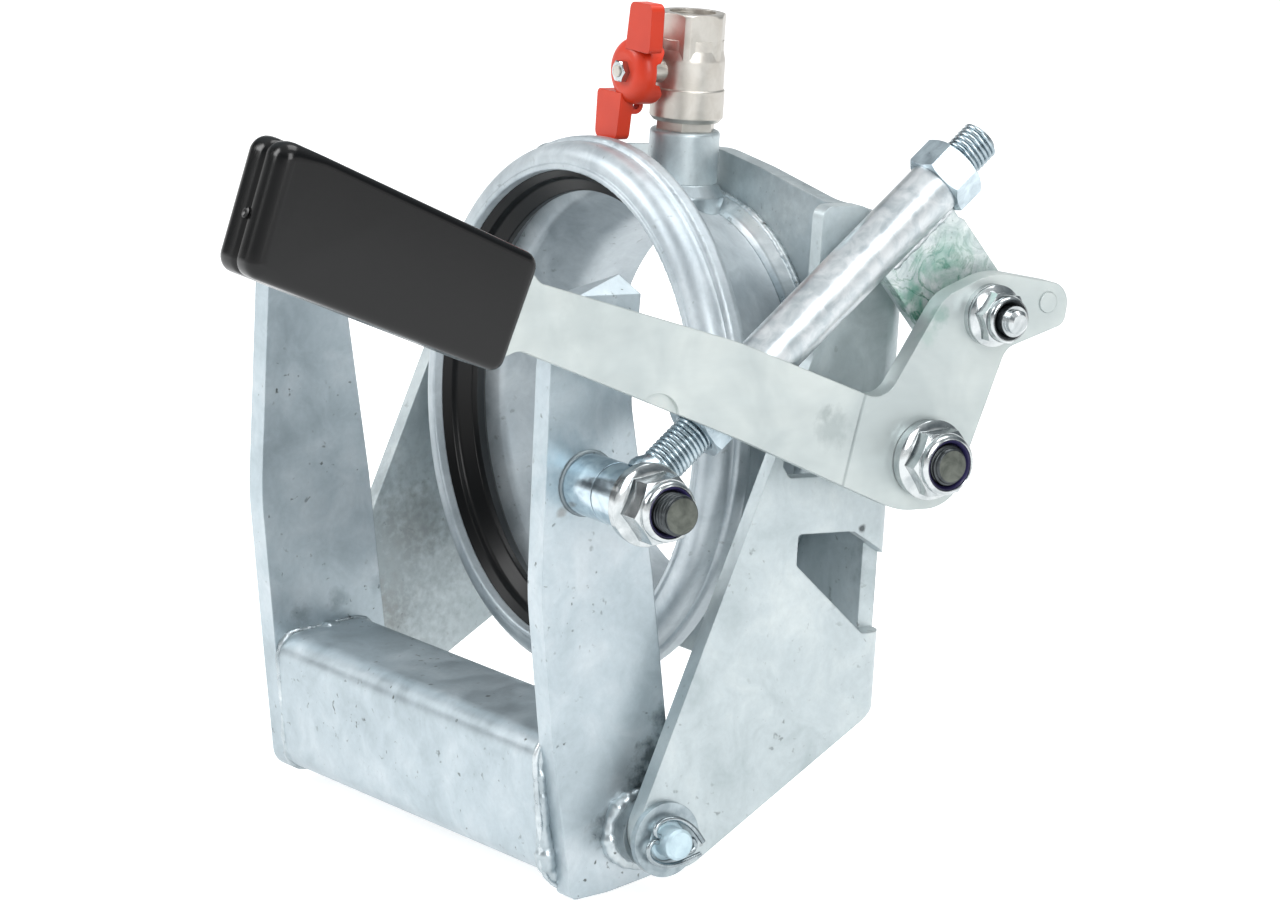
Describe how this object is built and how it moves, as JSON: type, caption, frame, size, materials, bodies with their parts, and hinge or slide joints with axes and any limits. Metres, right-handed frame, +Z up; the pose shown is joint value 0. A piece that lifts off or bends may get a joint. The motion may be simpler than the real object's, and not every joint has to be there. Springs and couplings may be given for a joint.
{
  "type": "irrigation pipe quick coupling",
  "caption": "Lever-closed quick coupling for steel irrigation pipe: flared mouth with gasket, swinging yoke, over-centre lever, adjustable tie and a small ball valve.",
  "frame": {"origin": "on the pipe's axis, at the inner rim of the coupling's mouth", "axes": "+Y along the pipe, from the mouth towards the pipe end; +Z up, towards the small valve; +X towards the side with the lever"},
  "size_m": [0.317, 0.3705, 0.3306],
  "materials": {
    "galvanised_steel": "hot-dip galvanised, mottled satin",
    "weld_metal": "galvanised weld bead",
    "rod_steel": "zinc plated, satin",
    "zinc_plated_steel": "bright zinc plate",
    "nickel_plated_brass": "nickel plate, satin",
    "enamelled_handle": "glossy red enamel",
    "rubber": "smooth black rubber",
    "moulded_grip": "satin black moulded plastic",
    "nylon": "blue nylon",
    "seat_plastic": "white sealing plastic"
  },
  "bodies": {
    "frame": {"frame_plate": "galvanised_steel", "bell_pipe": "galvanised_steel", "mouth_gasket": "rubber", "frame_weld": "weld_metal", "valve_socket": "galvanised_steel", "socket_weld": "weld_metal", "valve_body": "nickel_plated_brass", "valve_end_piece": "nickel_plated_brass", "valve_seat_lower": "seat_plastic", "valve_seat_upper": "seat_plastic", "lever_pivot_boss": "galvanised_steel", "lever_pivot_stud": "rod_steel", "lever_pivot_washer": "zinc_plated_steel", "lever_pivot_nut": "zinc_plated_steel", "lever_pivot_insert": "nylon", "pivot_rod": "rod_steel", "pivot_washer_right": "zinc_plated_steel", "pivot_washer_left": "zinc_plated_steel", "split_pin_right": "zinc_plated_steel", "split_pin_left": "zinc_plated_steel"},
    "yoke": {"yoke_arm_right": "galvanised_steel", "yoke_arm_left": "galvanised_steel", "yoke_crossbar": "galvanised_steel", "pivot_boss_right": "galvanised_steel", "pivot_boss_left": "galvanised_steel", "tie_boss": "galvanised_steel", "tie_stud": "rod_steel", "tie_washer": "zinc_plated_steel", "tie_nut": "zinc_plated_steel", "tie_insert": "nylon"},
    "tie": {"eye_bolt": "rod_steel", "tie_tube": "galvanised_steel", "tie_gusset": "galvanised_steel", "lock_nut": "zinc_plated_steel"},
    "adjuster": {"adjuster_nut": "zinc_plated_steel"},
    "lever": {"lever_plate": "galvanised_steel", "lever_grip": "moulded_grip", "stop_peg": "galvanised_steel", "link_bolt": "zinc_plated_steel", "link_spacer": "galvanised_steel", "link_washer": "zinc_plated_steel", "link_nut": "zinc_plated_steel", "link_insert": "nylon"},
    "handle": {"valve_handle": "enamelled_handle", "valve_stem": "nickel_plated_brass", "valve_ball": "nickel_plated_brass", "handle_nut": "nickel_plated_brass"}
  },
  "joints": [
    {"name": "lever_pivot", "type": "hinge", "parent": "frame", "child": "lever", "pos_m": [0.154, 0.061, 0.007], "axis": [-1, 0, 0], "range_deg": [-10, 62]},
    {"name": "yoke_pivot", "type": "hinge", "parent": "frame", "child": "yoke", "pos_m": [0, -0.0265, -0.1425], "axis": [-1, 0, 0], "range_deg": [-1.8, 10.2]},
    {"name": "tie_pivot", "type": "hinge", "parent": "yoke", "child": "tie", "pos_m": [0.138, -0.0595, -0.0065], "axis": [-1, 0, 0], "range_deg": [-1.8, 10]},
    {"name": "adjuster_spin", "type": "hinge", "parent": "tie", "child": "adjuster", "pos_m": [0.138, 0.07573, 0.1123], "axis": [0, 0.7513, 0.66], "continuous": true},
    {"name": "valve_turn", "type": "hinge", "parent": "frame", "child": "handle", "pos_m": [0, 0.03, 0.1335], "axis": [0, 1, 0], "range_deg": [0, 90]}
  ],
  "couplings": [
    {"joint": "yoke_pivot", "follows": "lever_pivot", "ratio": 0.158},
    {"joint": "tie_pivot", "follows": "lever_pivot", "ratio": 0.155}
  ]
}
